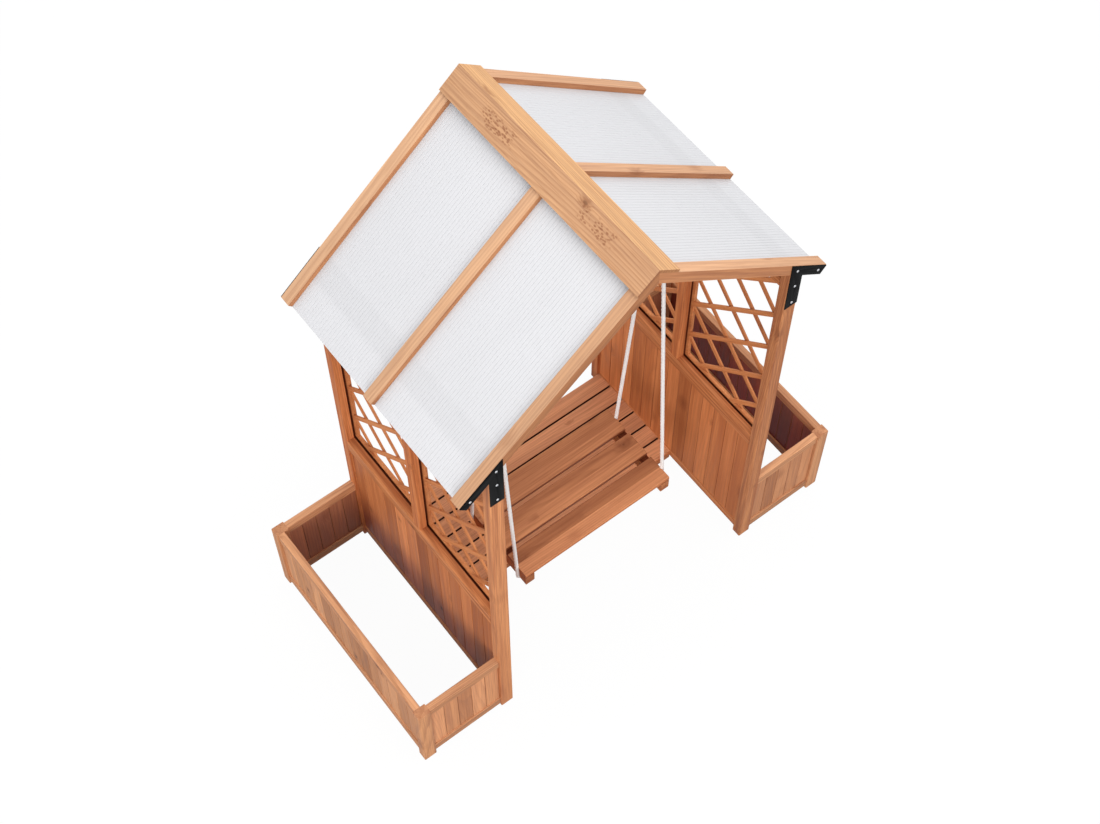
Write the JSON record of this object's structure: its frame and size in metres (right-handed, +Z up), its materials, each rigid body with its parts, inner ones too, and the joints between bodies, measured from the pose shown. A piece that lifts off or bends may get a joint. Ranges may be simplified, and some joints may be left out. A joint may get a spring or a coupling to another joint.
{
  "type": "garden swing with planters",
  "caption": "Wooden garden swing seat on a rope under a pitched roof of translucent panels, between trellis walls with a low planter box on each side and a deck behind the seat.",
  "frame": {"origin": "on the floor, midway between the two side walls and midway between the front and rear faces", "axes": "+Z up, -Y towards the front that the seat faces, +X to the right seen from the front"},
  "size_m": [1.851, 0.92, 2.217],
  "materials": {
    "wood": "planed and oiled, satin",
    "fluted_panel": "clear fluted sheet",
    "black_steel": "matt black",
    "screw_steel": "zinc plated",
    "rope": "laid white cord"
  },
  "bodies": {
    "frame": {"front_post_left": "wood", "front_post_right": "wood", "mid_post_left": "wood", "mid_post_right": "wood", "rear_post_left": "wood", "rear_post_right": "wood", "wall_top_rail_left": "wood", "wall_top_rail_right": "wood", "wall_bottom_rail_left": "wood", "wall_bottom_rail_right": "wood", "wall_boards_left": "wood", "wall_boards_right": "wood", "trellis_front_left": "wood", "trellis_front_right": "wood", "trellis_rear_left": "wood", "trellis_rear_right": "wood", "top_plate_front_left": "wood", "top_plate_front_right": "wood", "top_plate_rear_left": "wood", "top_plate_rear_right": "wood", "planter_post_front_left": "wood", "planter_post_front_right": "wood", "planter_post_rear_left": "wood", "planter_post_rear_right": "wood", "planter_long_rails_left": "wood", "planter_long_rails_right": "wood", "planter_long_boards_left": "wood", "planter_long_boards_right": "wood", "planter_front_rails_left": "wood", "planter_front_rails_right": "wood", "planter_front_boards_left": "wood", "planter_front_boards_right": "wood", "planter_rear_rails_left": "wood", "planter_rear_rails_right": "wood", "planter_rear_boards_left": "wood", "planter_rear_boards_right": "wood", "rafter_front_left": "wood", "rafter_front_right": "wood", "rafter_mid_left": "wood", "rafter_mid_right": "wood", "rafter_rear_left": "wood", "rafter_rear_right": "wood", "roof_panel_front_left": "fluted_panel", "roof_panel_front_right": "fluted_panel", "roof_panel_rear_left": "fluted_panel", "roof_panel_rear_right": "fluted_panel", "ridge_cap_left": "wood", "ridge_cap_right": "wood", "corner_brackets": "black_steel", "bracket_screws": "screw_steel", "deck_slats": "wood", "deck_joists": "wood", "deck_apron": "wood", "swing_bar": "wood"},
    "swing": {"seat_slat_front": "wood", "seat_slat_middle": "wood", "seat_slat_rear": "wood", "seat_bearer_left": "wood", "seat_bearer_right": "wood", "rope": "rope"}
  },
  "joints": [
    {"name": "swing_hinge", "type": "hinge", "parent": "frame", "child": "swing", "pos_m": [0, -0.079, 1.67803], "axis": [1, 0, 0], "range_deg": [-30, 30]}
  ]
}
